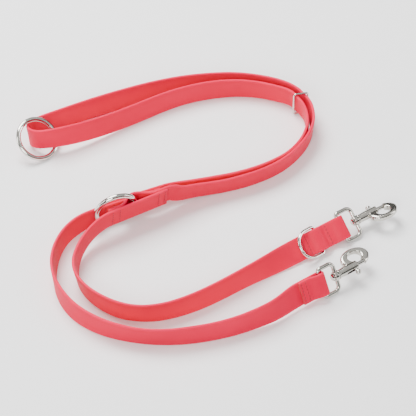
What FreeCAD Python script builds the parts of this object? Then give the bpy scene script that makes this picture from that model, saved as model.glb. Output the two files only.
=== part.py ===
"""Training leash: three coated straps sewn end to end, a handle ring, a joint ring, a D-ring,
a strap keeper and two swivel bolt snaps, laid out on a floor. Millimetres, +Z up."""
import FreeCAD, Part
import math
import os

V = FreeCAD.Vector
UP = V(0, 0, 1)

# ---- driving dimensions ------------------------------------------------------------------
STRAP_W = 20.0            # width of the coated webbing
STRAP_T = 2.4             # thickness of the coated webbing
LAYER_GAP = 0.1           # between two strap layers that are sewn together
RING_OD = 40.0            # both round rings
HANDLE_WIRE = 4.2         # wire of the handle ring
JOINT_WIRE = 4.6          # wire of the joint ring
D_WIRE = 2.6
D_HALF_BAR = 12.0        # centre of the bar to the centre of a leg
D_DEPTH = 21.5
D_CORNER = 2.4
KEEPER_WIRE = 1.8
KEEPER_INNER_W = 10.8
KEEPER_INNER_H = 21.0
KEEPER_CORNER = 1.7
EYE_WIRE = 3.6
EYE_HALF_BAR = 12.5       # centre of the bar to the centre of an arm
EYE_REACH = 14.8          # bar to the front of the eye
EYE_CORNER = 4.5
FOLD_R = 3.3              # middle of the strap round the eye's bar
RUNNING = 0.05            # radial clearance of the swivel pin and of the bolt

# places on the floor, before the whole leash is centred
HANDLE_RING_AT = V(-149.5, 72.6, 13.3)
HANDLE_RING_TILT = 38.0   # from lying flat
HANDLE_RING_LOW = -45.0   # direction of its low side, degrees from +X
JOINT_RING_AT = V(-77.3, -21.3, 20.05)
JOINT_RING_DIR = 19.0
JOINT_AT = V(-58.5, -19.1, 20.0)
JOINT_DIR = 30.0
REAR_JOINT_AT = V(-64.0, -5.1, 10.07)
REAR_JOINT_DIR = 204.4
REAR_JOINT_LEAN = 8.0
POCKET = 9.3              # depth of the ring's pocket, middle to middle
JOINT_LEAN = 10.0         # the joint's top leans towards -Y
KEEPER_AT = V(82.6, 120.0, 12.3)
KEEPER_RUN = -58.0        # direction of the strap through the keeper
KEEPER_SKEW = -20.0
KEEPER_OUTER = 2.7        # from the keeper's middle to each run
KEEPER_INNER = -2.9
KEEPER_STRETCH = 11.0     # half of the straight stretch in the keeper
SNAP_A_AT, SNAP_A_DIR, SNAP_A_LEAN = V(112.6, -33.9, 10.2), 35.0, 50.0
SNAP_B_AT, SNAP_B_DIR, SNAP_B_LEAN = V(93.2, -101.0, 12.9), 36.0, 30.0
SNAP_A_SWING, SNAP_A_ROLL = 0.0, 127.0
SNAP_B_SWING, SNAP_B_ROLL = 0.0, -55.0
D_BACK = 24.0             # snap A's bar to the D-ring's bar
D_RISE = 14.0             # the D-ring stands this far above the strap

ARC_STEP = 9.0            # degrees between sections in a bend
ARC_SHARE = 0.45          # share of the shorter run that an arc takes


# ---- directions --------------------------------------------------------------------------
def unit(v):
    return v * (1.0 / v.Length)


def heading(degrees):
    a = math.radians(degrees)
    return V(math.cos(a), math.sin(a), 0)


def turned(v, axis, degrees):
    return FreeCAD.Rotation(axis, degrees).multVec(v)


def width_direction(tangent, lean):
    """Across the strap: up, leaning to the left of the way it runs by lean degrees."""
    left = unit(UP.cross(tangent))
    a = math.radians(lean)
    return UP * math.cos(a) + left * math.sin(a)


class Frame:
    """A place with three directions: t along a strap, w across it, b out of its face."""
    def __init__(self, at, t, w):
        self.at, self.t, self.w = at, unit(t), unit(w)
        self.b = self.t.cross(self.w)

    def point(self, t, b, w=0.0):
        return self.at + self.t * t + self.b * b + self.w * w


# ---- straps ------------------------------------------------------------------------------
def stations(route):
    """Straight runs joined by tangent arcs. Gives (place, tangent, way) at each section, and
    the way to each point of the route. A point is (place, lean or width vector, arc share)."""
    points = [p[0] for p in route]
    shares = [p[2] if len(p) > 2 else ARC_SHARE for p in route]
    out, ways, radii = [], [0.0], []
    start, way = points[0], 0.0
    out.append((start, unit(points[1] - points[0]), way))
    for i in range(1, len(points) - 1):
        run_in, run_out = points[i] - points[i - 1], points[i + 1] - points[i]
        d_in, d_out = unit(run_in), unit(run_out)
        turn = d_in.getAngle(d_out)
        if turn < 1e-4:
            ways.append(way + (points[i] - start).Length)
            continue
        reach = shares[i] * min(run_in.Length, run_out.Length)
        radius = reach / math.tan(turn / 2)
        radii.append(radius)
        entry = points[i] - d_in * reach
        axis = unit(d_in.cross(d_out))
        to_centre = axis.cross(d_in)
        centre = entry + to_centre * radius
        way += (entry - start).Length
        steps = max(1, math.ceil(math.degrees(turn) / ARC_STEP))
        for k in range(steps + 1):
            part = math.degrees(turn) * k / steps
            place = centre + turned(entry - centre, axis, part)
            out.append((place, turned(d_in, axis, part), way + radius * math.radians(part)))
        ways.append(way + radius * turn / 2)
        way += radius * turn
        start = out[-1][0]
    way += (points[-1] - start).Length
    out.append((points[-1], unit(points[-1] - points[-2]), way))
    ways.append(way)
    return out, ways, radii


def width_at(route, ways, way, tangent):
    """The width direction between two points of the route, square to the tangent."""
    i = 0
    while i < len(ways) - 2 and way > ways[i + 1]:
        i += 1
    share = min(1.0, max(0.0, (way - ways[i]) / (ways[i + 1] - ways[i])))
    ends = []
    for point in route[i:i + 2]:
        spec = point[1]
        ends.append(spec if isinstance(spec, V) else width_direction(tangent, spec))
    w = ends[0] * (1 - share) + ends[1] * share
    return unit(w - tangent * w.dot(tangent))


def strap(name, route):
    sections, ways, radii = stations(route)
    wires = []
    last = None
    for place, tangent, way in sections:
        if last is not None and (place - last).Length < 0.02:
            continue
        last = place
        w = width_at(route, ways, way, tangent) * (STRAP_W / 2)
        b = unit(tangent.cross(w)) * (STRAP_T / 2)
        corners = [place + w + b, place + w - b, place - w - b, place - w + b]
        wires.append(Part.makePolygon(corners + corners[:1]))
    solid = Part.makeLoft(wires, True, True)
    ideal = ways[-1] * STRAP_W * STRAP_T
    print("%s: %.0f mm long, volume %.4f of section x length, radii %s" % (
        name, ways[-1], solid.Volume / ideal, " ".join("%.0f" % r for r in radii)))
    return solid


def fold_and_tail(frame, tail):
    """The strap's way round a snap's bar and back along itself, as points of a route."""
    main, back = -FOLD_R, FOLD_R
    points = [(frame.point(FOLD_R, main), frame.w, 0.5), (frame.point(FOLD_R, back), frame.w, 0.5)]
    for t, b in tail:
        points.append((frame.point(t, b), frame.w))
    return points


def floor_points(rows):
    """Route points from (x, y, height of the lower edge above the floor, lean)."""
    points = []
    for x, y, lift, lean in rows:
        a = math.radians(abs(lean))
        points.append((V(x, y, lift + STRAP_W / 2 * math.cos(a) + STRAP_T / 2 * math.sin(a)), lean))
    return points


# ---- wire parts --------------------------------------------------------------------------
def bent_wire(corners, corner_r, wire, closed=True):
    """A round wire along straight runs with rounded corners; corner_r is one value each."""
    edges, n = [], len(corners)
    ends = []
    for i in range(n):
        a, p, c = corners[i - 1], corners[i], corners[(i + 1) % n]
        d_in, d_out = unit(p - a), unit(c - p)
        turn = d_in.getAngle(d_out)
        reach = corner_r[i] * math.tan(turn / 2)
        axis = unit(d_in.cross(d_out))
        entry, leave = p - d_in * reach, p + d_out * reach
        centre = entry + axis.cross(d_in) * corner_r[i]
        middle = centre + turned(entry - centre, axis, math.degrees(turn) / 2)
        ends.append((entry, middle, leave))
    for i in range(n):
        entry, middle, leave = ends[i]
        before = ends[i - 1][2]
        if (entry - before).Length > 1e-3:
            edges.append(Part.LineSegment(before, entry).toShape())
        edges.append(Part.Arc(entry, middle, leave).toShape())
    path = Part.Wire(edges)
    first = edges[0]
    start, along = first.valueAt(first.FirstParameter), first.tangentAt(first.FirstParameter)
    section = Part.Wire([Part.makeCircle(wire / 2, start, along)])
    return path.makePipeShell([section], True, True)


def round_ring(at, normal, wire):
    return Part.makeTorus(RING_OD / 2 - wire / 2, wire / 2, at, normal)


def d_ring(frame):
    """The bar runs along w and the bow reaches along t."""
    depth = D_DEPTH - D_HALF_BAR
    half = D_HALF_BAR
    p = frame.point
    edges = [
        Part.LineSegment(p(0, 0, -half + D_CORNER), p(0, 0, half - D_CORNER)).toShape(),
        Part.Arc(p(0, 0, half - D_CORNER),
                 p(D_CORNER * (1 - math.cos(math.pi / 4)), 0, half - D_CORNER * (1 - math.sin(math.pi / 4))),
                 p(D_CORNER, 0, half)).toShape(),
        Part.LineSegment(p(D_CORNER, 0, half), p(depth, 0, half)).toShape(),
        Part.Arc(p(depth, 0, half), p(D_DEPTH, 0, 0), p(depth, 0, -half)).toShape(),
        Part.LineSegment(p(depth, 0, -half), p(D_CORNER, 0, -half)).toShape(),
        Part.Arc(p(D_CORNER, 0, -half),
                 p(D_CORNER * (1 - math.cos(math.pi / 4)), 0, -half + D_CORNER * (1 - math.sin(math.pi / 4))),
                 p(0, 0, -half + D_CORNER)).toShape(),
    ]
    path = Part.Wire(edges)
    section = Part.Wire([Part.makeCircle(D_WIRE / 2, p(0, 0, -half + D_CORNER), frame.w)])
    return path.makePipeShell([section], True, True)


# ---- bolt snap, in its own frame: X from the eye's bar to the tip, Y towards the hook's loop ----
PIN_R = 1.6
BOSS_R, BOSS_BACK, BOSS_FRONT = 4.3, 12.7, 16.6
HEAD_R, HEAD_BACK = 3.1, 10.6
COLLAR_R, COLLAR_START, COLLAR_END = 4.0, 17.0, 18.4
NECK_R, NECK_END = 3.4, 25.0
BARREL_R, BARREL_END = 3.9, 37.2
PIN_END = 20.0
BORE_START = 20.8
BOLT_R, BOLT_BACK, BOLT_FRONT = 1.8, 32.0, 45.2
BOLT_TRAVEL = 7.6
STUD_X, STUD_R, STUD_BALL_R, STUD_BALL_Y = 33.6, 1.1, 2.4, -6.8
SLOT_R = 1.4
LOOP_AT, LOOP_HALF = (39.8, 6.4), (13.3, 9.5)      # middle and half sizes of the hook's outline
HOLE_AT, HOLE_HALF = (39.8, 6.9), (6.4, 5.0)       # and of its opening
HOOK_T = 5.2                          # thickness of the hook
MOUTH_START, MOUTH_END = 36.4, 45.0
SPRING_R, SPRING_WIRE, SPRING_PITCH, SPRING_TURNS = 1.3, 0.45, 0.6, 4.5
SPRING_START = BORE_START + SPRING_WIRE / 2 + 0.1
X_AXIS, Y_AXIS, Z_AXIS = V(1, 0, 0), V(0, 1, 0), V(0, 0, 1)


def along_x(radius, start, end):
    return Part.makeCylinder(radius, end - start, V(start, 0, 0), X_AXIS)


def oval_plate(middle, half):
    curve = Part.Ellipse(V(middle[0], middle[1], -HOOK_T / 2), half[0], half[1])
    return Part.Face(Part.Wire([curve.toShape()])).extrude(V(0, 0, HOOK_T))


def oval_edges(shape, half):
    ovals = [e for e in shape.Edges if isinstance(e.Curve, Part.Ellipse)]
    return [e for e in ovals if abs(e.Curve.MajorRadius - half[0]) < 0.01]


def snap_eye():
    half = EYE_HALF_BAR
    corners = [V(0, 0, -half), V(EYE_REACH, 0, -half), V(EYE_REACH, 0, half), V(0, 0, half)]
    back = EYE_WIRE / 2 + 0.6
    loop = bent_wire(corners, [back, EYE_CORNER, EYE_CORNER, back], EYE_WIRE)
    boss = along_x(BOSS_R, BOSS_BACK, BOSS_FRONT)
    boss = boss.makeFillet(0.8, [e for e in boss.Edges if isinstance(e.Curve, Part.Circle)])
    return loop.fuse(boss).cut(along_x(PIN_R + RUNNING, 0, BOSS_FRONT + 1)).removeSplitter()


def snap_rivet():
    """A pin through the eye's boss with a flared head inside the eye, pressed into the hook."""
    head = Part.makeCone(PIN_R + 0.4, HEAD_R, 1.0, V(HEAD_BACK, 0, 0), X_AXIS)
    rim = along_x(HEAD_R, HEAD_BACK + 1.0, BOSS_BACK - 0.2)
    return head.fuse(rim).fuse(along_x(PIN_R, BOSS_BACK - 0.3, PIN_END)).removeSplitter()


def snap_hook():
    """Collar, barrel and open loop in one casting, with the bolt's bore and the stud's slot."""
    outline = oval_plate(LOOP_AT, LOOP_HALF)
    outline = outline.makeFillet(1.9, oval_edges(outline, LOOP_HALF))
    loop = outline.cut(oval_plate(HOLE_AT, HOLE_HALF))
    loop = loop.makeFillet(1.1, oval_edges(loop, HOLE_HALF))
    mouth = Part.makeBox(MOUTH_END - MOUTH_START, 12, HOOK_T + 2,
                         V(MOUTH_START, HOLE_AT[1] - HOLE_HALF[1] + 0.9 - 12, -HOOK_T / 2 - 1))
    loop = loop.cut(mouth)
    collar = along_x(COLLAR_R, COLLAR_START, COLLAR_END)
    collar = collar.makeFillet(0.5, [e for e in collar.Edges if isinstance(e.Curve, Part.Circle)])
    neck = Part.makeCone(NECK_R, BARREL_R, NECK_END - COLLAR_END + 0.4, V(COLLAR_END - 0.4, 0, 0), X_AXIS)
    barrel = along_x(BARREL_R, NECK_END, BARREL_END)
    barrel = barrel.makeFillet(0.9, [e for e in barrel.Edges if isinstance(e.Curve, Part.Circle)
                                     and abs(e.Curve.Center.x - BARREL_END) < 1e-6])
    bodies = collar.fuse(neck).fuse(barrel)
    body = loop.fuse(bodies)
    body = body.cut(along_x(BOLT_R + RUNNING, BORE_START, MOUTH_START + 1))
    body = body.cut(along_x(PIN_R, COLLAR_START - 1, PIN_END + 0.2))
    seat = BOLT_FRONT + 0.25
    body = body.cut(along_x(BOLT_R + RUNNING, MOUTH_END - 1, seat))
    first, last = STUD_X - BOLT_TRAVEL - 0.1, STUD_X + 0.1
    slot = Part.makeBox(last - first, 8, 2 * SLOT_R, V(first, -8, -SLOT_R))
    for x in (first, last):
        slot = slot.fuse(Part.makeCylinder(SLOT_R, 8, V(x, -8, 0), Y_AXIS))
    return body.cut(slot).removeSplitter()


def snap_bolt():
    """The sliding bolt, with a blind hole for the thumb stud's pin."""
    bolt = along_x(BOLT_R, BOLT_BACK, BOLT_FRONT)
    ends = [e for e in bolt.Edges if isinstance(e.Curve, Part.Circle)]
    bolt = bolt.makeFillet(0.35, ends)
    return bolt.cut(Part.makeCylinder(STUD_R, 3.0, V(STUD_X, -3.0, 0), Y_AXIS))


def snap_stud():
    pin = Part.makeCylinder(STUD_R, -STUD_BALL_Y, V(STUD_X, STUD_BALL_Y, 0), Y_AXIS)
    ball = Part.makeSphere(STUD_BALL_R, V(STUD_X, STUD_BALL_Y, 0))
    return pin.fuse(ball).removeSplitter()


def snap_spring():
    """The coil behind the bolt, at the length it has when the bolt is drawn back."""
    def on_coil(quarters):
        a = math.radians(90 * quarters)
        return V(SPRING_START + SPRING_PITCH * quarters / 4, SPRING_R * math.cos(a), SPRING_R * math.sin(a))

    arcs = [Part.Arc(on_coil(q), on_coil(q + 0.5), on_coil(q + 1)).toShape()
            for q in range(int(4 * SPRING_TURNS))]
    start, along = arcs[0].valueAt(arcs[0].FirstParameter), arcs[0].tangentAt(arcs[0].FirstParameter)
    section = Part.Wire([Part.makeCircle(SPRING_WIRE / 2, start, along)])
    return Part.Wire(arcs).makePipeShell([section], True, True)


def placed(shape, at, x_dir, z_dir):
    """Moves a shape from its own frame to the place at, with its X along x_dir."""
    x_dir = unit(x_dir)
    y_dir = unit(z_dir.cross(x_dir))
    z_dir = x_dir.cross(y_dir)
    turn = FreeCAD.Rotation(x_dir, y_dir, z_dir, "XYZ")
    moved = shape.copy()
    moved.Placement = FreeCAD.Placement(at, turn).multiply(moved.Placement)
    return moved


# ---- stitches ----------------------------------------------------------------------------
STITCH = (0.8, 2.0, 0.3)              # along the strap, across it, and out of its face
STITCH_PITCH = 3.0
STITCH_OFF = 0.02                     # from the strap's face


def stitch_rows(frame, rows_t, b_face, out):
    """Rows of stitches across a strap face at the distances rows_t, standing on b_face."""
    solids = []
    count = int((STRAP_W - 4.0) / STITCH_PITCH) + 1
    for t in rows_t:
        for k in range(count):
            w = (k - (count - 1) / 2) * STITCH_PITCH
            low = b_face + STITCH_OFF if out > 0 else b_face - STITCH_OFF - STITCH[2]
            corner = frame.point(t - STITCH[0] / 2, low, w - STITCH[1] / 2)
            block = Part.makeBox(STITCH[0], STITCH[1], STITCH[2])
            turn = FreeCAD.Rotation(frame.t, frame.w, frame.b, "XYZ")
            block.Placement = FreeCAD.Placement(corner, turn)
            solids.append(block)
    return solids


# ---- the layout --------------------------------------------------------------------------
snap_a = Frame(SNAP_A_AT, heading(SNAP_A_DIR), width_direction(heading(SNAP_A_DIR), SNAP_A_LEAN))
snap_b = Frame(SNAP_B_AT, heading(SNAP_B_DIR), width_direction(heading(SNAP_B_DIR), SNAP_B_LEAN))
LAYER = STRAP_T + LAYER_GAP
LAID = -FOLD_R + LAYER                # a sewn-down layer, out from the snap's bar
D_B = -FOLD_R + STRAP_T / 2 + 0.35 + D_WIRE / 2
OVER_D = D_B + D_WIRE / 2 + 0.35 + STRAP_T / 2

# the joint ring's pocket: the loop strap goes behind the ring's wire and back to the leg strap
joint_dir = heading(JOINT_DIR)
joint_w = width_direction(joint_dir, -JOINT_LEAN)
joint = Frame(JOINT_AT, joint_dir, joint_w)

front_leg_rows = [
    (-94.2, -40.6, 6.8, 7), (-102.3, -51.2, 4.3, 3), (-108.1, -64.3, 1.9, -2),
    (-110.6, -79.0, 0.2, -10), (-108.2, -93.5, 0.0, -11), (-100.2, -107.2, 0.0, -8),
    (-87.7, -119.0, 0.0, -4), (-72.5, -127.9, 0.0, -2), (-56.0, -131.5, 0.0, -4),
    (-40.0, -130.2, 0.0, 0), (-24.5, -125.4, 0.0, 3), (-7.0, -116.8, 0.0, 8),
    (12.0, -104.5, 0.0, 10), (31.0, -90.6, 0.0, 12), (47.5, -79.0, 0.0, 22)]
front_leg = [(joint.point(t, 0), joint.w) for t in (27, -20, -31)]
front_leg += floor_points(front_leg_rows)
front_leg += [(snap_a.point(t, -FOLD_R), snap_a.w) for t in (-48, -40, -8)]
front_leg += fold_and_tail(snap_a, [
    (-3.6, FOLD_R), (-9.8, LAID), (-D_BACK + 7.2, LAID), (-D_BACK + 2.6, OVER_D),
    (-D_BACK - 2.6, OVER_D), (-D_BACK - 7.2, LAID), (-D_BACK - 10.0, LAID), (-D_BACK - 17.0, LAID)])

rear_dir = heading(REAR_JOINT_DIR)
rear = Frame(REAR_JOINT_AT, rear_dir, width_direction(rear_dir, REAR_JOINT_LEAN))
rear_leg_rows = [
    (-99.5, -22.2, 0.0, 3), (-109.0, -29.2, 0.0, -3), (-118.0, -39.4, 0.0, -3),
    (-124.0, -51.8, 0.0, -5), (-127.8, -66.5, 0.0, -8), (-128.6, -82.0, 0.0, -9),
    (-126.5, -97.5, 0.0, -4), (-120.0, -113.8, 0.0, 2), (-108.3, -130.5, 0.0, 4),
    (-91.0, -143.6, 0.0, 1), (-72.3, -151.7, 0.0, -4), (-53.1, -156.3, 0.0, -7),
    (-33.5, -157.3, 0.0, -5), (-14.2, -155.0, 0.0, 0), (5.0, -150.9, 0.0, 2),
    (23.6, -144.7, 0.2, 5), (41.8, -136.4, 0.9, 11), (56.0, -128.3, 1.8, 18)]
rear_leg = [(rear.point(t, 0), rear.w) for t in (-25, 20, 31)] + floor_points(rear_leg_rows)
rear_leg += [(snap_b.point(t, -FOLD_R), snap_b.w) for t in (-26, -19, -8)]
rear_leg += fold_and_tail(snap_b, [(-3.6, FOLD_R), (-9.8, LAID), (-12.5, LAID), (-20.0, LAID)])

keeper_dir = heading(KEEPER_RUN)
keeper_side = heading(KEEPER_RUN + 90)
run_outer = KEEPER_AT + keeper_side * KEEPER_OUTER
run_inner = KEEPER_AT + keeper_side * KEEPER_INNER

loop_rows_bend = [
    (-24.0, 1.6, 5.6, -12), (-11.0, 8.2, 3.2, -14), (2.0, 12.9, 1.2, -15),
    (15.0, 17.2, 0.0, -15), (28.5, 21.9, 0.0, -13), (42.0, 27.8, 0.0, -13),
    (56.0, 35.9, 0.0, -12), (69.0, 46.8, 0.0, -10), (80.0, 60.5, 0.0, -8),
    (88.6, 76.0, 0.0, -6), (93.4, 93.5, 1.1, -5)]
loop_rows_rear = [
    (66.5, 141.2, 0.9, -4), (47.5, 148.9, 0.0, -3), (25.5, 152.8, 0.0, -2),
    (2.0, 151.8, 0.0, -2), (-21.5, 148.0, 0.0, -4), (-45.0, 141.2, 0.0, -7),
    (-68.5, 132.0, 0.0, -10), (-92.0, 121.6, 0.0, -12), (-114.5, 110.7, 0.0, -12),
    (-133.5, 101.0, 0.0, -10), (-147.0, 94.0, 0.0, -9), (-156.3, 87.3, 0.0, -9),
    (-158.0, 77.2, 1.9, -5), (-150.0, 69.0, 5.4, 1), (-136.5, 69.6, 6.5, 5),
    (-118.0, 76.4, 5.1, 10), (-98.0, 87.6, 2.4, 11), (-78.0, 100.2, 0.4, 11),
    (-58.5, 112.4, 0.0, 11), (-39.5, 124.2, 0.0, 8), (-19.5, 133.9, 0.0, 4),
    (2.0, 140.4, 0.0, 4), (24.0, 143.3, 0.0, 1), (44.5, 141.3, 0.0, -2),
    (61.5, 134.9, 0.9, -4)]
loop_rows_inner = [
    (88.5, 92.0, 1.1, 0), (85.6, 78.5, 0.2, 4), (79.0, 64.0, 0.0, 8), (68.5, 50.6, 0.0, 11),
    (54.5, 40.3, 0.0, 12), (38.5, 31.8, 0.0, 13), (21.0, 25.3, 0.0, 14), (3.0, 20.6, 0.0, 13),
    (-14.0, 16.3, 0.0, 12)]
loop_strap = [
    (joint.point(along, -away), joint.w) for along, away in (
        (-28.0, LAYER), (-19.0, LAYER), (-14.8, LAYER), (-9.8, 5.2), (-5.6, POCKET), (1.4, POCKET),
        (8.4, 5.4), (14.5, LAYER), (18.5, LAYER), (32.0, LAYER))]
loop_strap += floor_points(loop_rows_bend)
loop_strap += [(run_outer - keeper_dir * (KEEPER_STRETCH * k), -4) for k in (-1, 0, 1)]
loop_strap += floor_points(loop_rows_rear)
loop_strap += [(run_inner + keeper_dir * (KEEPER_STRETCH * k), -5) for k in (-1, 0, 1)]
loop_strap += floor_points(loop_rows_inner)
loop_strap += [(rear.point(t, LAYER), rear.w) for t in (-34, -26, 30)]

# ---- the pieces --------------------------------------------------------------------------
nodes = {}
nodes["strap_front_leg"] = strap("front leg strap", front_leg)
nodes["strap_rear_leg"] = strap("rear leg strap", rear_leg)
nodes["strap_loop"] = strap("loop strap", loop_strap)

low = heading(HANDLE_RING_LOW)
handle_normal = UP * math.cos(math.radians(HANDLE_RING_TILT)) + low * math.sin(math.radians(HANDLE_RING_TILT))
nodes["handle_ring"] = round_ring(HANDLE_RING_AT, handle_normal, HANDLE_WIRE)

joint_ring_dir = heading(JOINT_RING_DIR)
joint_ring_w = width_direction(joint_ring_dir, -JOINT_LEAN)
nodes["joint_ring"] = round_ring(JOINT_RING_AT, joint_ring_dir.cross(joint_ring_w), JOINT_WIRE)

d_back = snap_a.t * -1
d_frame = Frame(snap_a.point(-D_BACK, D_B), turned(d_back, snap_a.w, D_RISE), snap_a.w)
nodes["d_ring"] = d_ring(d_frame)

keeper_across = turned(keeper_side, UP, KEEPER_SKEW)
half_w, half_h = (KEEPER_INNER_W + KEEPER_WIRE) / 2, (KEEPER_INNER_H + KEEPER_WIRE) / 2
keeper_corners = [KEEPER_AT + keeper_across * (half_w * a) + UP * (half_h * b)
                  for a, b in ((-1, -1), (1, -1), (1, 1), (-1, 1))]
nodes["strap_keeper"] = bent_wire(keeper_corners, [KEEPER_CORNER] * 4, KEEPER_WIRE)

joint_axes = {}
for name, frame, swing, roll in (("a", snap_a, SNAP_A_SWING, SNAP_A_ROLL),
                                 ("b", snap_b, SNAP_B_SWING, SNAP_B_ROLL)):
    x_dir = frame.t * math.cos(math.radians(swing)) + frame.b * math.sin(math.radians(swing))
    nodes["snap_%s_eye" % name] = placed(snap_eye(), frame.at, x_dir, frame.w)
    loop_dir = turned(frame.w, x_dir, roll)
    plate = x_dir.cross(loop_dir)
    for piece, maker in (("rivet", snap_rivet), ("hook", snap_hook), ("bolt", snap_bolt),
                         ("thumb_stud", snap_stud), ("spring", snap_spring)):
        nodes["snap_%s_%s" % (name, piece)] = placed(maker(), frame.at, x_dir, plate)
    joint_axes[name] = (frame.at, frame.w, x_dir, loop_dir)

front_face, back_face = LAID + STRAP_T / 2, -FOLD_R - STRAP_T / 2
nodes["stitches_snap_a"] = Part.makeCompound(
    stitch_rows(snap_a, (-13.8,), front_face, 1) + stitch_rows(snap_a, (-13.8,), back_face, -1))
nodes["stitches_d_ring"] = Part.makeCompound(
    stitch_rows(snap_a, (-35.0, -39.0), front_face, 1) + stitch_rows(snap_a, (-35.0, -39.0), back_face, -1))
nodes["stitches_snap_b"] = Part.makeCompound(
    stitch_rows(snap_b, (-14.0, -18.4), front_face, 1) + stitch_rows(snap_b, (-14.0, -18.4), back_face, -1))

BACK = LAYER + STRAP_T / 2
nodes["stitches_front_joint"] = Part.makeCompound(
    stitch_rows(joint, (-25.5, -18.6, 18.6, 24.5), STRAP_T / 2, 1)
    + stitch_rows(joint, (-25.5, -18.6, 18.6, 24.5), -BACK, -1))
nodes["stitches_rear_joint"] = Part.makeCompound(
    stitch_rows(rear, (-22.0, -14.0, 18.0, 26.0), -STRAP_T / 2, -1)
    + stitch_rows(rear, (-22.0, -14.0, 18.0, 26.0), BACK, 1))

os.makedirs("parts", exist_ok=True)
whole = Part.makeCompound(list(nodes.values()))
box = whole.optimalBoundingBox(False)
print("box x %.2f %.2f  y %.2f %.2f  z %.2f %.2f" % (
    box.XMin, box.XMax, box.YMin, box.YMax, box.ZMin, box.ZMax))
origin = V((box.XMin + box.XMax) / 2, (box.YMin + box.YMax) / 2, box.ZMin)
for name, (at, w, x_dir, loop_dir) in joint_axes.items():
    print("snap", name, at - origin, "bar", w, "axis", x_dir, "loop", loop_dir)
print("origin", origin, "pocket wire", joint.point(0, -4.0) - origin, joint.w)
print("handle ring", HANDLE_RING_AT - origin, handle_normal)
print("joint ring", JOINT_RING_AT - origin, joint_ring_dir.cross(joint_ring_w))
print("d ring", d_frame.at - origin, d_frame.w, d_frame.t)
print("keeper", KEEPER_AT - origin, keeper_dir)
for name, shape in nodes.items():
    shape.translate(origin * -1)
    print("%-18s solids %d valid %s volume %.1f zmin %.2f" % (
        name, len(shape.Solids), shape.isValid(), shape.Volume, shape.optimalBoundingBox(False).ZMin))
    shape.exportStep("parts/%s.step" % name)
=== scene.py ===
import bpy
import math
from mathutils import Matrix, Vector


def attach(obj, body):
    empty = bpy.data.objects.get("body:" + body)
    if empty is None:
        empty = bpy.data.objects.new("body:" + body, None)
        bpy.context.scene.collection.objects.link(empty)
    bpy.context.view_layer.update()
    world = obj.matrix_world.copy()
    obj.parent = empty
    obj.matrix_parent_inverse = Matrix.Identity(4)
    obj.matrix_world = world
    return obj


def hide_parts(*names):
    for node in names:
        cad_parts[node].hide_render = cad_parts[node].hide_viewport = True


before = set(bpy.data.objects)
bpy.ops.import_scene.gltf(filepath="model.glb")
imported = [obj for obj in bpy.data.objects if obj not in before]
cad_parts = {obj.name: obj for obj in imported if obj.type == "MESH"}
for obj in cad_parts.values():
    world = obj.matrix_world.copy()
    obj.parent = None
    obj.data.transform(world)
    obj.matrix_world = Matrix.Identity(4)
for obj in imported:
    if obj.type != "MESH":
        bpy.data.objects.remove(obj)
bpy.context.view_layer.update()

MM = 0.001
ORIGIN = Vector((-3.355, -2.576, -0.111))      # the row frame's origin in the layout's millimetres
UP = Vector((0, 0, 1))
STRAP_W, STRAP_T = 20.0, 2.4
LAYER = 2.5
FOLD_R = 3.3
LAID = -FOLD_R + LAYER
OVER_D = 2.4
POCKET = 9.3
D_BACK = 24.0


# ---- directions and routes, in the layout's millimetres --------------------------------------
def heading(degrees):
    a = math.radians(degrees)
    return Vector((math.cos(a), math.sin(a), 0))


def width_direction(tangent, lean):
    left = UP.cross(tangent).normalized()
    a = math.radians(lean)
    return UP * math.cos(a) + left * math.sin(a)


class Place:
    """t along a strap, w across it, b out of its face."""
    def __init__(self, at, t, w):
        self.at, self.t, self.w = Vector(at), t.normalized(), w.normalized()
        self.b = self.t.cross(self.w)

    def point(self, t, b, w=0.0):
        return self.at + self.t * t + self.b * b + self.w * w


def standing(at, direction, lean):
    return Place(at, heading(direction), width_direction(heading(direction), lean))


snap_a = standing((112.6, -33.9, 10.2), 35.0, 50.0)
snap_b = standing((93.2, -101.0, 12.9), 36.0, 30.0)
joint = standing((-58.5, -19.1, 20.0), 30.0, -10.0)
rear = standing((-64.0, -5.1, 10.07), 204.4, 8.0)


def floor_points(rows):
    """Route points from (x, y, height of the lower edge above the floor, lean)."""
    points = []
    for x, y, lift, lean in rows:
        a = math.radians(abs(lean))
        z = lift + STRAP_W / 2 * math.cos(a) + STRAP_T / 2 * math.sin(a)
        points.append((Vector((x, y, z)), lean))
    return points


def straight(place, pairs):
    return [(place.point(t, b), place.w) for t, b in pairs]


front_leg_rows = [
    (-94.2, -40.6, 6.8, 7), (-102.3, -51.2, 4.3, 3), (-108.1, -64.3, 1.9, -2),
    (-110.6, -79.0, 0.2, -10), (-108.2, -93.5, 0.0, -11), (-100.2, -107.2, 0.0, -8),
    (-87.7, -119.0, 0.0, -4), (-72.5, -127.9, 0.0, -2), (-56.0, -131.5, 0.0, -4),
    (-40.0, -130.2, 0.0, 0), (-24.5, -125.4, 0.0, 3), (-7.0, -116.8, 0.0, 8),
    (12.0, -104.5, 0.0, 10), (31.0, -90.6, 0.0, 12), (47.5, -79.0, 0.0, 22)]
front_leg = straight(joint, [(27, 0), (-20, 0), (-31, 0)])
front_leg += floor_points(front_leg_rows)
front_leg += straight(snap_a, [
    (-48, -FOLD_R), (-40, -FOLD_R), (-8, -FOLD_R), (FOLD_R, -FOLD_R), (FOLD_R, FOLD_R),
    (-3.6, FOLD_R), (-9.8, LAID), (-D_BACK + 7.2, LAID), (-D_BACK + 2.6, OVER_D),
    (-D_BACK - 2.6, OVER_D), (-D_BACK - 7.2, LAID), (-D_BACK - 10.0, LAID), (-D_BACK - 17.0, LAID)])

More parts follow.
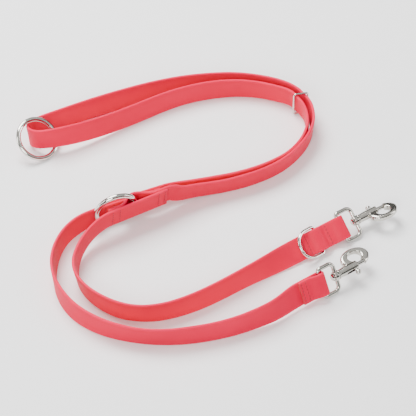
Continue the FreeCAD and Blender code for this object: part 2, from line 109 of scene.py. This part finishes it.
rear_leg_rows = [
    (-99.5, -22.2, 0.0, 3), (-109.0, -29.2, 0.0, -3), (-118.0, -39.4, 0.0, -3),
    (-124.0, -51.8, 0.0, -5), (-127.8, -66.5, 0.0, -8), (-128.6, -82.0, 0.0, -9),
    (-126.5, -97.5, 0.0, -4), (-120.0, -113.8, 0.0, 2), (-108.3, -130.5, 0.0, 4),
    (-91.0, -143.6, 0.0, 1), (-72.3, -151.7, 0.0, -4), (-53.1, -156.3, 0.0, -7),
    (-33.5, -157.3, 0.0, -5), (-14.2, -155.0, 0.0, 0), (5.0, -150.9, 0.0, 2),
    (23.6, -144.7, 0.2, 5), (41.8, -136.4, 0.9, 11), (56.0, -128.3, 1.8, 18)]
rear_leg = straight(rear, [(-25, 0), (20, 0), (31, 0)]) + floor_points(rear_leg_rows)
rear_leg += straight(snap_b, [
    (-26, -FOLD_R), (-19, -FOLD_R), (-8, -FOLD_R), (FOLD_R, -FOLD_R), (FOLD_R, FOLD_R),
    (-3.6, FOLD_R), (-9.8, LAID), (-12.5, LAID), (-20.0, LAID)])

keeper_dir, keeper_side = heading(-58.0), heading(32.0)
keeper_at = Vector((82.6, 120.0, 12.3))
run_outer, run_inner = keeper_at + keeper_side * 2.7, keeper_at - keeper_side * 2.9
bend_rows = [
    (-24.0, 1.6, 5.6, -12), (-11.0, 8.2, 3.2, -14), (2.0, 12.9, 1.2, -15),
    (15.0, 17.2, 0.0, -15), (28.5, 21.9, 0.0, -13), (42.0, 27.8, 0.0, -13),
    (56.0, 35.9, 0.0, -12), (69.0, 46.8, 0.0, -10), (80.0, 60.5, 0.0, -8),
    (88.6, 76.0, 0.0, -6), (93.4, 93.5, 1.1, -5)]
rear_rows = [
    (66.5, 141.2, 0.9, -4), (47.5, 148.9, 0.0, -3), (25.5, 152.8, 0.0, -2),
    (2.0, 151.8, 0.0, -2), (-21.5, 148.0, 0.0, -4), (-45.0, 141.2, 0.0, -7),
    (-68.5, 132.0, 0.0, -10), (-92.0, 121.6, 0.0, -12), (-114.5, 110.7, 0.0, -12),
    (-133.5, 101.0, 0.0, -10), (-147.0, 94.0, 0.0, -9), (-156.3, 87.3, 0.0, -9),
    (-158.0, 77.2, 1.9, -5), (-150.0, 69.0, 5.4, 1), (-136.5, 69.6, 6.5, 5),
    (-118.0, 76.4, 5.1, 10), (-98.0, 87.6, 2.4, 11), (-78.0, 100.2, 0.4, 11),
    (-58.5, 112.4, 0.0, 11), (-39.5, 124.2, 0.0, 8), (-19.5, 133.9, 0.0, 4),
    (2.0, 140.4, 0.0, 4), (24.0, 143.3, 0.0, 1), (44.5, 141.3, 0.0, -2),
    (61.5, 134.9, 0.9, -4)]
inner_rows = [
    (88.5, 92.0, 1.1, 0), (85.6, 78.5, 0.2, 4), (79.0, 64.0, 0.0, 8), (68.5, 50.6, 0.0, 11),
    (54.5, 40.3, 0.0, 12), (38.5, 31.8, 0.0, 13), (21.0, 25.3, 0.0, 14), (3.0, 20.6, 0.0, 13),
    (-14.0, 16.3, 0.0, 12)]
loop_strap = straight(joint, [
    (-28.0, -LAYER), (-19.0, -LAYER), (-14.8, -LAYER), (-9.8, -5.2), (-5.6, -POCKET),
    (1.4, -POCKET), (8.4, -5.4), (14.5, -LAYER), (18.5, -LAYER), (32.0, -LAYER)])
loop_strap += floor_points(bend_rows)
loop_strap += [(run_outer - keeper_dir * along, -4) for along in (-11, 0, 11)]
loop_strap += floor_points(rear_rows)
loop_strap += [(run_inner + keeper_dir * along, -5) for along in (-11, 0, 11)]
loop_strap += floor_points(inner_rows)
loop_strap += straight(rear, [(-34, LAYER), (-26, LAYER), (30, LAYER)])


def row_frame(p):
    """From the layout's millimetres to the row frame's metres."""
    return (p - ORIGIN) * MM


# ---- small node helpers -----------------------------------------------------------------------
def new_material(name):
    mat = bpy.data.materials.new(name)
    mat.use_nodes = True
    tree = mat.node_tree
    tree.nodes.clear()
    out = tree.nodes.new("ShaderNodeOutputMaterial")
    shader = tree.nodes.new("ShaderNodeBsdfPrincipled")
    tree.links.new(shader.outputs["BSDF"], out.inputs["Surface"])
    return mat, tree, shader


def noise(tree, scale, detail, rough=0.5):
    node = tree.nodes.new("ShaderNodeTexNoise")
    node.inputs["Scale"].default_value = scale
    node.inputs["Detail"].default_value = detail
    node.inputs["Roughness"].default_value = rough
    place = tree.nodes.new("ShaderNodeTexCoord").outputs["Object"]
    tree.links.new(place, node.inputs["Vector"])
    return node.outputs["Fac"]


def ramp(tree, source, stops):
    """stops are (place, colour), from the lowest place up."""
    node = tree.nodes.new("ShaderNodeValToRGB")
    elements = node.color_ramp.elements
    while len(elements) < len(stops):
        elements.new(0.5)
    for element, (place, color) in zip(elements, stops):
        element.position = place
        element.color = (*color, 1)
    tree.links.new(source, node.inputs["Fac"])
    return node.outputs["Color"]


def grey(value):
    return (value, value, value)


def bump(tree, shader, layers):
    """layers are (height, strength, distance in metres), the coarse one first."""
    normal = None
    for height, strength, distance in layers:
        node = tree.nodes.new("ShaderNodeBump")
        node.inputs["Strength"].default_value = strength
        node.inputs["Distance"].default_value = distance
        tree.links.new(height, node.inputs["Height"])
        if normal is not None:
            tree.links.new(normal, node.inputs["Normal"])
        normal = node.outputs["Normal"]
    tree.links.new(normal, shader.inputs["Normal"])


def absolute(tree, value):
    node = tree.nodes.new("ShaderNodeMath")
    node.operation = "ABSOLUTE"
    tree.links.new(value, node.inputs[0])
    return node.outputs[0]


# ---- materials ----------------------------------------------------------------------------------
def coated_webbing():
    """Coral coating over webbing: a smooth skin, a paler coral painted on both edges as highlight, a faint
    weave under it.
    """
    mat, tree, shader = new_material("coral_coated_webbing")
    uv = tree.nodes.new("ShaderNodeUVMap")
    uv.uv_map = "strap"
    split = tree.nodes.new("ShaderNodeSeparateXYZ")
    tree.links.new(uv.outputs["UV"], split.inputs[0])
    across = absolute(tree, split.outputs["Y"])
    # painted highlight: the rounded edges on both sides of the strap get a paler coral that stands in for
    # light caught by the edges
    painted_edge_highlight = ramp(tree, across, [(0.0, grey(0)), (0.0086, grey(0)), (0.0097, grey(1)), (1.0, grey(1))])
    drift = noise(tree, 14, 3)
    base = ramp(tree, drift, [(0.3, (0.68, 0.0, 0.040)), (0.7, (0.76, 0.0, 0.048))])
    mix = tree.nodes.new("ShaderNodeMix")
    mix.data_type = "RGBA"
    tree.links.new(painted_edge_highlight, mix.inputs[0])
    tree.links.new(base, mix.inputs[6])
    # the paler coral of the painted edge highlight
    mix.inputs[7].default_value = (0.88, 0.004, 0.075, 1)
    tree.links.new(mix.outputs[2], shader.inputs["Base Color"])
    scuff = noise(tree, 260, 5, 0.62)
    tree.links.new(ramp(tree, scuff, [(0.35, grey(0.40)), (0.75, grey(0.54))]), shader.inputs["Roughness"])
    shader.inputs["Specular IOR Level"].default_value = 0.07
    weave = tree.nodes.new("ShaderNodeTexWave")
    weave.wave_type = "BANDS"
    weave.bands_direction = "X"
    weave.inputs["Scale"].default_value = 190
    weave.inputs["Distortion"].default_value = 0.6
    tree.links.new(uv.outputs["UV"], weave.inputs["Vector"])
    bump(tree, shader, [
        (noise(tree, 26, 2), 0.12, 0.0009),
        (weave.outputs["Fac"], 0.07, 0.0003),
        (noise(tree, 900, 4, 0.6), 0.12, 0.0001)])
    return mat


def cut_end():
    """Where the webbing is cut: the paler core between two skins."""
    mat, tree, shader = new_material("webbing_cut_end")
    fibres = noise(tree, 2600, 4, 0.7)
    color = ramp(tree, fibres, [(0.3, (0.40, 0.004, 0.02)), (0.7, (0.70, 0.06, 0.08))])
    tree.links.new(color, shader.inputs["Base Color"])
    shader.inputs["Roughness"].default_value = 0.78
    bump(tree, shader, [(fibres, 0.6, 0.0002)])
    return mat


def thread():
    mat, tree, shader = new_material("bonded_thread")
    twist = tree.nodes.new("ShaderNodeTexWave")
    twist.bands_direction = "DIAGONAL"
    twist.inputs["Scale"].default_value = 900
    twist.inputs["Distortion"].default_value = 1.0
    coord = tree.nodes.new("ShaderNodeTexCoord")
    tree.links.new(coord.outputs["Object"], twist.inputs["Vector"])
    color = ramp(tree, twist.outputs["Fac"], [(0.2, (0.32, 0.0, 0.014)), (0.8, (0.56, 0.003, 0.03))])
    tree.links.new(color, shader.inputs["Base Color"])
    tree.links.new(ramp(tree, noise(tree, 500, 3), [(0.3, grey(0.42)), (0.7, grey(0.58))]),
                   shader.inputs["Roughness"])
    bump(tree, shader, [(twist.outputs["Fac"], 0.5, 0.0001)])
    return mat


def plated(name, color, rough, wear=0.10, grain=0.05):
    """Bright plating on a casting: slight waviness, fine polishing marks, dulled spots."""
    mat, tree, shader = new_material(name)
    cloud = noise(tree, 70, 4)
    dark = tuple(c * 0.86 for c in color)
    tree.links.new(ramp(tree, cloud, [(0.3, dark), (0.65, color)]), shader.inputs["Base Color"])
    shader.inputs["Metallic"].default_value = 1.0
    marks = noise(tree, 420, 6, 0.65)
    tree.links.new(ramp(tree, marks, [(0.35, grey(rough)), (0.8, grey(rough + wear))]),
                   shader.inputs["Roughness"])
    shader.inputs["Coat Weight"].default_value = 0.15
    shader.inputs["Coat Roughness"].default_value = 0.06
    bump(tree, shader, [(noise(tree, 160, 2), 0.10, 0.0006), (noise(tree, 2400, 3), grain, 0.00008)])
    return mat


webbing = coated_webbing()
core = cut_end()
thread_mat = thread()
nickel = plated("polished_nickel", (0.66, 0.64, 0.59), 0.08)
cast_nickel = plated("cast_nickel", (0.56, 0.54, 0.49), 0.16, 0.12, 0.10)
bolt_nickel = plated("turned_nickel", (0.60, 0.58, 0.54), 0.12)
spring_steel = plated("spring_wire", (0.40, 0.40, 0.41), 0.24)


# ---- straps -------------------------------------------------------------------------------------
def spline(points):
    """Points along a curve with these control points, read back from the curve itself."""
    curve = bpy.data.curves.new("route", "CURVE")
    curve.dimensions = "3D"
    curve.resolution_u = 9
    line = curve.splines.new("NURBS")
    line.points.add(len(points) - 1)
    for knot, p in zip(line.points, points):
        knot.co = (*p, 1)
    line.order_u = 3
    line.use_endpoint_u = True
    holder = bpy.data.objects.new("route", curve)
    bpy.context.scene.collection.objects.link(holder)
    mesh = bpy.data.meshes.new_from_object(holder)
    out = [v.co.copy() for v in mesh.vertices]
    bpy.data.objects.remove(holder)
    bpy.data.curves.remove(curve)
    bpy.data.meshes.remove(mesh)
    return out


CUT_BULGE = 0.00012            # how far a cut end stands out past its rim, in metres


def strap_profile():
    """The section's outline as (across, out) in metres, with rounded edges."""
    half_w, half_t, r = STRAP_W / 2 * MM, STRAP_T / 2 * MM, 0.9 * MM
    outline = []
    for side_w, side_t, start in ((1, 1, 0), (-1, 1, 90), (-1, -1, 180), (1, -1, 270)):
        for k in range(5):
            a = math.radians(start + 22.5 * k)
            outline.append((side_w * (half_w - r) + r * math.cos(a), side_t * (half_t - r) + r * math.sin(a)))
        if start in (0, 180):
            for part in (0.6, 0.2, -0.2, -0.6):
                outline.append((side_w * (half_w - r) * part, side_t * half_t))
    return outline


def strap_mesh(name, node, route):
    """A ribbon along a route, with coordinates along it and across it in metres."""
    centres = [p for p, spec in route]
    sides = []
    for i, (p, spec) in enumerate(route):
        along = centres[min(i + 1, len(route) - 1)] - centres[max(i - 1, 0)]
        w = spec if isinstance(spec, Vector) else width_direction(along.normalized(), spec)
        sides.append(w.normalized())
    middle = spline([row_frame(p) for p in centres])
    edge = spline([row_frame(p + w * 10.0) for p, w in zip(centres, sides)])
    outline = strap_profile()
    verts, uvs, way = [], [], 0.0
    rings = []
    for i, place in enumerate(middle):
        if i and (place - middle[i - 1]).length < 1e-6:
            continue
        ahead = middle[min(i + 1, len(middle) - 1)] - middle[max(i - 1, 0)]
        t = ahead.normalized()
        w = edge[i] - place
        w = (w - t * w.dot(t)).normalized()
        way += (place - rings[-1][0]).length if rings else 0.0
        rings.append((place, t, w, t.cross(w), way))
    length = rings[-1][4]
    for k, (place, t, w, b, way) in enumerate(rings):
        for across, out in outline:
            verts.append(place + w * across + b * out)
            uvs.append((way, across))
    n = len(outline)
    faces = []
    for k in range(len(rings) - 1):
        for j in range(n):
            a, c = k * n + j, k * n + (j + 1) % n
            faces.append((a, c, c + n, a + n))
    side_count = len(faces)
    for k, sign in ((0, -1), (len(rings) - 1, 1)):
        place, t, w, b, way = rings[k]
        inner = len(verts)
        for across, out in outline:
            verts.append(place + t * (sign * CUT_BULGE) + w * (across * 0.985) + b * (out * 0.86))
            uvs.append((way, across))
        for j in range(n):
            a, c = k * n + j, k * n + (j + 1) % n
            d, e = inner + j, inner + (j + 1) % n
            faces.append((a, c, e, d) if sign > 0 else (c, a, d, e))
        cap = [inner + j for j in range(n)]
        faces.append(tuple(cap) if sign > 0 else tuple(reversed(cap)))
    mesh = bpy.data.meshes.new(name)
    mesh.from_pydata([tuple(v) for v in verts], [], faces)
    layer = mesh.uv_layers.new(name="strap")
    for loop in mesh.loops:
        layer.data[loop.index].uv = uvs[loop.vertex_index]
    mesh.materials.append(webbing)
    mesh.materials.append(core)
    for face in mesh.polygons:
        face.use_smooth = face.index < side_count
        face.material_index = 1 if len(face.vertices) > 4 else 0
    strap = bpy.data.objects.new(name, mesh)
    bpy.context.scene.collection.objects.link(strap)
    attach(strap, "straps")
    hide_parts(node)
    return length


front_length = strap_mesh("front_leg_ribbon", "strap_front_leg", front_leg)
back_length = strap_mesh("rear_leg_ribbon", "strap_rear_leg", rear_leg)
loop_length = strap_mesh("loop_ribbon", "strap_loop", loop_strap)


# ---- stitches -----------------------------------------------------------------------------------
STITCH_LONG, STITCH_R, STITCH_PITCH = 2.5, 0.42, 3.0
STITCH_SLANT = 0.16            # half of a stitch's lean along the strap


def stitch_rows(verts, faces, place, rows_t, face_b, out):
    """Thread across a strap face: a rounded stitch, sunk into the coating at both ends."""
    count = int((STRAP_W - 4.0) / STITCH_PITCH) + 1
    steps, around = 10, 8
    for t in rows_t:
        for k in range(count):
            middle = (k - (count - 1) / 2) * STITCH_PITCH
            first = len(verts)
            for i in range(steps + 1):
                part = 2 * i / steps - 1
                girth = math.sqrt(max(0.0, 1 - part ** 4)) * 0.75 + 0.25
                rise = 0.14 - 0.34 * part ** 4
                for j in range(around):
                    a = 2 * math.pi * j / around
                    verts.append(row_frame(place.point(
                        t + STITCH_R * girth * math.cos(a) + STITCH_SLANT * part,
                        face_b + out * (rise + STITCH_R * 0.55 * girth * math.sin(a)),
                        middle + part * STITCH_LONG / 2)))
            for i in range(steps):
                for j in range(around):
                    a, c = first + i * around + j, first + i * around + (j + 1) % around
                    quad = (a, c, c + around, a + around)
                    faces.append(quad if out < 0 else tuple(reversed(quad)))
            start = tuple(first + j for j in range(around))
            last = tuple(first + steps * around + j for j in range(around))
            faces.append(tuple(reversed(start)) if out < 0 else start)
            faces.append(last if out < 0 else tuple(reversed(last)))


def seam(name, node, place, rows_t, front_b, back_b):
    verts, faces = [], []
    stitch_rows(verts, faces, place, rows_t, front_b, 1)
    stitch_rows(verts, faces, place, rows_t, back_b, -1)
    mesh = bpy.data.meshes.new(name)
    mesh.from_pydata([tuple(v) for v in verts], [], faces)
    for face in mesh.polygons:
        face.use_smooth = True
    mesh.materials.append(thread_mat)
    piece = bpy.data.objects.new(name, mesh)
    bpy.context.scene.collection.objects.link(piece)
    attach(piece, "straps")
    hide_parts(node)


HALF_T = STRAP_T / 2
seam("snap_a_seam", "stitches_snap_a", snap_a, (-13.8,), LAID + HALF_T, -FOLD_R - HALF_T)
seam("d_ring_seam", "stitches_d_ring", snap_a, (-35.0, -39.0), LAID + HALF_T, -FOLD_R - HALF_T)
seam("snap_b_seam", "stitches_snap_b", snap_b, (-14.0, -18.4), LAID + HALF_T, -FOLD_R - HALF_T)
seam("front_joint_seam", "stitches_front_joint", joint, (-25.5, -18.6, 18.6, 24.5), HALF_T, -LAYER - HALF_T)
seam("rear_joint_seam", "stitches_rear_joint", rear, (-22.0, -14.0, 18.0, 26.0), LAYER + HALF_T, -HALF_T)


# ---- hardware -----------------------------------------------------------------------------------
finishes = {"handle_ring": nickel, "joint_ring": nickel, "d_ring": nickel, "strap_keeper": nickel}
for letter in "ab":
    finishes["snap_%s_eye" % letter] = cast_nickel
    finishes["snap_%s_hook" % letter] = cast_nickel
    finishes["snap_%s_rivet" % letter] = bolt_nickel
    finishes["snap_%s_bolt" % letter] = bolt_nickel
    finishes["snap_%s_thumb_stud" % letter] = bolt_nickel
    finishes["snap_%s_spring" % letter] = spring_steel
for name, finish in finishes.items():
    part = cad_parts[name]
    part.data.materials.clear()
    part.data.materials.append(finish)


# ---- floor, light and camera --------------------------------------------------------------------
def plane(name, corners, material):
    mesh = bpy.data.meshes.new(name)
    mesh.from_pydata(corners, [], [(0, 1, 2, 3)])
    mesh.materials.append(material)
    flat = bpy.data.objects.new(name, mesh)
    bpy.context.scene.collection.objects.link(flat)
    return flat


floor_mat, tree, shader = new_material("studio_floor")
shader.inputs["Base Color"].default_value = (0.97, 0.97, 0.97, 1)
shader.inputs["Roughness"].default_value = 0.9
shader.inputs["Specular IOR Level"].default_value = 0.1
plane("floor", [(-4, -4, 0), (4, -4, 0), (4, 4, 0), (-4, 4, 0)], floor_mat)


def area_light(name, at, aim, size, size_y, power, color=(1, 1, 1)):
    data = bpy.data.lights.new(name, "AREA")
    data.shape = "RECTANGLE"
    data.size, data.size_y = size, size_y
    data.energy = power
    data.color = color
    lamp = bpy.data.objects.new(name, data)
    bpy.context.scene.collection.objects.link(lamp)
    lamp.location = at
    lamp.rotation_euler = (Vector(aim) - Vector(at)).to_track_quat("-Z", "Y").to_euler()


area_light("overhead_softbox", (-0.55, 0.75, 1.45), (0, 0, 0), 1.0, 1.0, 62)
area_light("front_softbox", (-0.3, -1.5, 1.0), (0, 0, 0), 0.8, 0.6, 22)
area_light("left_strip", (-1.4, -0.2, 0.5), (0, 0, 0), 0.25, 1.2, 8)
area_light("right_strip", (1.4, 0.1, 0.6), (0, 0, 0), 0.25, 1.2, 8)

world = bpy.data.worlds.new("studio")
bpy.context.scene.world = world
world.use_nodes = True
tree = world.node_tree
tree.nodes.clear()
out = tree.nodes.new("ShaderNodeOutputWorld")
background = tree.nodes.new("ShaderNodeBackground")
coord = tree.nodes.new("ShaderNodeTexCoord")
split = tree.nodes.new("ShaderNodeSeparateXYZ")
tree.links.new(coord.outputs["Generated"], split.inputs[0])
sky = ramp(tree, split.outputs["Z"], [
    (0.0, grey(0.40)), (0.10, grey(0.16)), (0.26, grey(0.01)), (0.42, grey(0.03)),
    (0.60, grey(0.70)), (1.0, grey(1.0))])
tree.links.new(sky, background.inputs["Color"])
background.inputs["Strength"].default_value = 0.85
tree.links.new(background.outputs["Background"], out.inputs["Surface"])

camera_data = bpy.data.cameras.new("camera")
camera_data.sensor_width = 36
camera_data.lens = 191.6
camera_data.dof.use_dof = False
camera = bpy.data.objects.new("camera", camera_data)
bpy.context.scene.collection.objects.link(camera)
camera.location = (0.003355, -1.3409, 1.3436)
camera.rotation_euler = (math.radians(45), 0, 0)
bpy.context.scene.camera = camera

print("strap lengths", front_length, back_length, loop_length)
